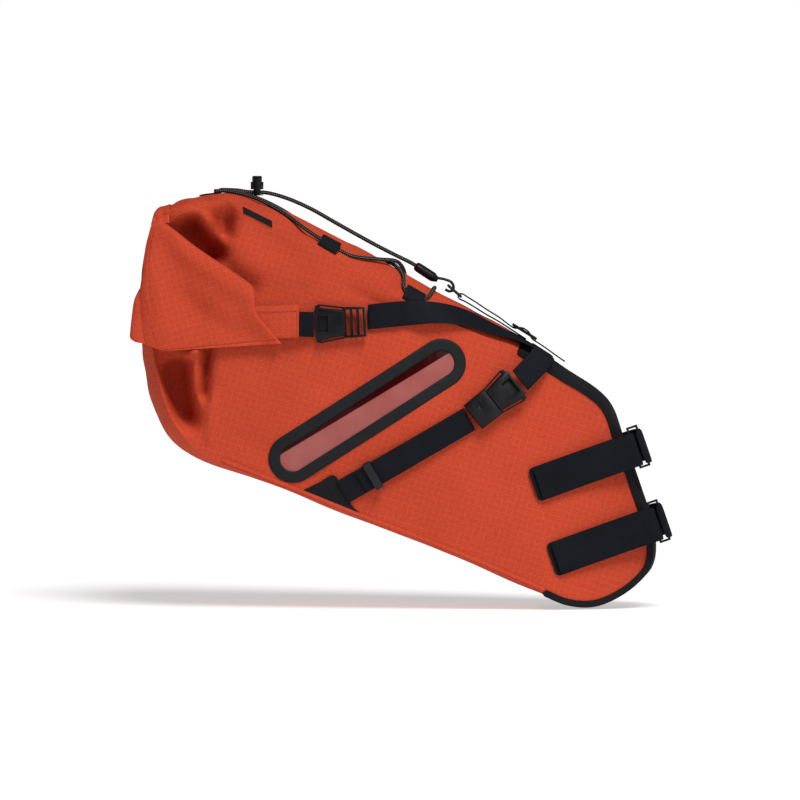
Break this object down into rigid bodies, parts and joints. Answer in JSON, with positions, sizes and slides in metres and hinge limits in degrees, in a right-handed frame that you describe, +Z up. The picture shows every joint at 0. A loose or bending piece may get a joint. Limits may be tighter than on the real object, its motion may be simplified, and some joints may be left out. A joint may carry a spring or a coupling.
{
  "type": "bicycle saddle bag",
  "caption": "Tapered roll-top bikepacking bag that hangs behind a bicycle's seatpost: ripstop shell, webbing with V buckles, side windows, bungee lacing and seatpost straps.",
  "frame": {"origin": "centre of the grip pad's face, where the bag bears on the seatpost, in the bag's middle plane", "axes": "+X the way the bicycle rides, from the roll-top to the nose; +Y the bicycle's left; +Z up, with the bag in its attitude on the bicycle"},
  "size_m": [0.5414, 0.1758, 0.4344],
  "materials": {
    "shell_fabric": "coated ripstop weave, faint lighter grid",
    "nose_fabric": "coarse coated weave",
    "webbing": "ribbed woven nylon",
    "hook_tape": "fine hook-and-loop pile with edge stitching",
    "buckle_plastic": "moulded, fine grain",
    "window_rubber": "matte welded frame",
    "window_film": "clear film over the orange inside",
    "grip_rubber": "ribbed grip",
    "board": "plain sheet",
    "cord": "braided sheath with pale flecks",
    "wire": "black coated wire",
    "spring_steel": "bright"
  },
  "bodies": {
    "bag": {"anchor_patch_left": "nose_fabric", "anchor_patch_right": "nose_fabric", "base_stiffener": "board", "bottom_panel": "shell_fabric", "cord_tab_front_left": "webbing", "cord_tab_front_right": "webbing", "cord_tab_rear_left": "webbing", "cord_tab_rear_right": "webbing", "hook_cord": "cord", "lacing_cord": "cord", "nose_panel": "nose_fabric", "nose_stiffener": "board", "post_anchor_lower": "hook_tape", "post_anchor_upper": "hook_tape", "post_loop_lower": "hook_tape", "post_loop_upper": "hook_tape", "post_ring_lower": "buckle_plastic", "post_ring_upper": "buckle_plastic", "rail_buckle_frame_left": "buckle_plastic", "rail_buckle_frame_right": "buckle_plastic", "rail_strap_left": "webbing", "rail_strap_right": "webbing", "rear_webbing": "webbing", "seatpost_pad": "grip_rubber", "side_buckle_frame_left": "buckle_plastic", "side_buckle_frame_right": "buckle_plastic", "side_label": "nose_fabric", "side_panel_left": "shell_fabric", "side_panel_right": "shell_fabric", "side_strap_left": "webbing", "side_strap_right": "webbing", "top_panel": "shell_fabric", "top_strap": "webbing", "tri_glide": "buckle_plastic", "window_film_left": "window_film", "window_film_right": "window_film", "window_frame_left": "window_rubber", "window_frame_right": "window_rubber"},
    "closure": {"closure_flap": "shell_fabric", "closure_roll": "shell_fabric", "light_loop": "webbing"},
    "ear_right": {"ear_right": "shell_fabric", "ear_webbing_right": "webbing", "side_buckle_hook_right": "buckle_plastic"},
    "rail_loop_right": {"rail_loop_right": "webbing", "rail_buckle_hook_right": "buckle_plastic"},
    "keeper_right": {"keeper_right": "grip_rubber"},
    "ear_left": {"ear_left": "shell_fabric", "ear_webbing_left": "webbing", "side_buckle_hook_left": "buckle_plastic"},
    "rail_loop_left": {"rail_loop_left": "webbing", "rail_buckle_hook_left": "buckle_plastic"},
    "keeper_left": {"keeper_left": "grip_rubber"},
    "post_flap_upper": {"post_flap_upper": "hook_tape"},
    "post_flap_lower": {"post_flap_lower": "hook_tape"},
    "cord_lock": {"cord_lock_body": "buckle_plastic", "cord_lock_spring": "spring_steel"},
    "cord_lock_button": {"cord_lock_button": "buckle_plastic"},
    "hook": {"hook": "buckle_plastic"},
    "hook_ring": {"hook_ring": "wire"}
  },
  "joints": [
    {"name": "closure_lift", "type": "hinge", "parent": "bag", "child": "closure", "pos_m": [-0.4885, 0, 0.2785], "axis": [0, 1, 0], "range_deg": [0, 100]},
    {"name": "ear_right_swing", "type": "hinge", "parent": "closure", "child": "ear_right", "pos_m": [-0.497, -0.08, 0.239], "axis": [-0.1767, 0, -0.9843], "range_deg": [0, 100]},
    {"name": "ear_left_swing", "type": "hinge", "parent": "closure", "child": "ear_left", "pos_m": [-0.497, 0.08, 0.239], "axis": [0.1767, 0, 0.9843], "range_deg": [0, 100]},
    {"name": "rail_loop_right_lift", "type": "hinge", "parent": "bag", "child": "rail_loop_right", "pos_m": [-0.09975, -0.04, 0.135], "axis": [-0.838, 0, 0.5457], "range_deg": [0, 110]},
    {"name": "rail_loop_left_lift", "type": "hinge", "parent": "bag", "child": "rail_loop_left", "pos_m": [-0.09975, 0.04, 0.135], "axis": [0.838, 0, -0.5457], "range_deg": [0, 110]},
    {"name": "post_flap_upper_peel", "type": "hinge", "parent": "bag", "child": "post_flap_upper", "pos_m": [-0.00862, -0.036, 0.04039], "axis": [-0.3256, 0, 0.9455], "range_deg": [0, 110]},
    {"name": "post_flap_lower_peel", "type": "hinge", "parent": "bag", "child": "post_flap_lower", "pos_m": [0.01188, -0.036, -0.03451], "axis": [-0.3256, 0, 0.9455], "range_deg": [0, 110]},
    {"name": "keeper_right_slide", "type": "slide", "parent": "bag", "child": "keeper_right", "axis": [0.8653, -0.0439, 0.4993], "range_m": [-0.006, 0.006]},
    {"name": "keeper_left_slide", "type": "slide", "parent": "bag", "child": "keeper_left", "axis": [0.8653, 0.0439, 0.4993], "range_m": [-0.006, 0.006]},
    {"name": "cord_lock_slide", "type": "slide", "parent": "bag", "child": "cord_lock", "axis": [1, 0, 0], "range_m": [-0.005, 0.003]},
    {"name": "cord_lock_press", "type": "slide", "parent": "cord_lock", "child": "cord_lock_button", "axis": [0, 0, -1], "range_m": [0, 0.0027], "stiffness_N_per_m": 400, "springref_m": -0.001, "deforming": ["cord_lock_spring"]},
    {"name": "hook_pull", "type": "slide", "parent": "bag", "child": "hook", "axis": [0.8345, 0, -0.551], "range_m": [0, 0.003], "stiffness_N_per_m": 300, "springref_m": -0.001},
    {"name": "hook_ring_swing", "type": "hinge", "parent": "bag", "child": "hook_ring", "pos_m": [-0.1827, 0, 0.1935], "axis": [0, 1, 0], "range_deg": [-5, 5]}
  ]
}
